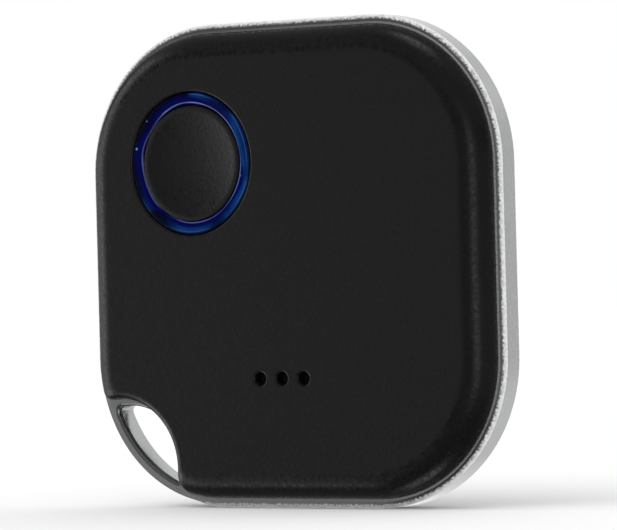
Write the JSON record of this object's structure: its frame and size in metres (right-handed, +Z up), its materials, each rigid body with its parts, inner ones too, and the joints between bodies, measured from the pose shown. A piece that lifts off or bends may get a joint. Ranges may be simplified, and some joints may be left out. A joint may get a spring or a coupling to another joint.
{
  "type": "smart button",
  "caption": "Rounded-square key-fob smart button: black shells in a bright metal band with a key loop, a press button in a blue light ring, a sounder, and a snap-off cover over a coin cell.",
  "frame": {"origin": "centre of the tag's lowest edge, where the metal band stands on a table", "axes": "+Z up the face, +X to the right seen from the front, -Y out of the face towards the user"},
  "size_m": [0.036, 0.006, 0.036],
  "materials": {
    "black_shell": "fine moulded matte",
    "bright_band": "satin plated",
    "blue_light_guide": "clear blue, polished",
    "button_black": "fine spark texture",
    "seal_silicone": "soft matte",
    "board_laminate": "solder mask",
    "component_black": "moulded epoxy",
    "component_pale": "fired ceramic",
    "capacitor_tan": "fired ceramic",
    "spring_steel": "nickel plated",
    "screw_steel": "zinc plated",
    "sounder_brass": "rolled",
    "adhesive_film": "die-cut film",
    "mesh_black": "woven",
    "tray_black": "moulded",
    "cell_steel": "rolled"
  },
  "bodies": {
    "case": {"front_shell": "black_shell", "frame_band": "bright_band", "light_ring": "blue_light_guide", "switch_plate": "spring_steel", "switch_dome": "spring_steel", "switch_base": "component_black", "ring_leds": "component_pale", "dust_mesh": "mesh_black", "sounder_adhesive": "adhesive_film", "sounder_plate": "sounder_brass", "sounder_ceramic": "component_pale", "sounder_springs": "spring_steel", "circuit_board": "board_laminate", "radio_chip": "component_black", "crystal": "spring_steel", "chip_antenna": "component_pale", "capacitors": "capacitor_tan", "resistors": "component_black", "board_screws": "screw_steel", "cell_tray": "tray_black", "negative_contact": "spring_steel", "positive_contact": "spring_steel", "cell_can": "cell_steel", "cell_gasket": "seal_silicone", "cell_cap": "cell_steel"},
    "button": {"button_cap": "button_black", "switch_plunger": "component_black"},
    "cover": {"back_cover": "black_shell", "cover_seal": "seal_silicone"}
  },
  "joints": [
    {"name": "button_press", "type": "slide", "parent": "case", "child": "button", "axis": [0, 1, 0], "range_m": [0, 0.00025], "stiffness_N_per_m": 500, "deforming": ["switch_dome"]},
    {"name": "cover_pull", "type": "slide", "parent": "case", "child": "cover", "axis": [0, 1, 0], "range_m": [0, 0.012]}
  ]
}
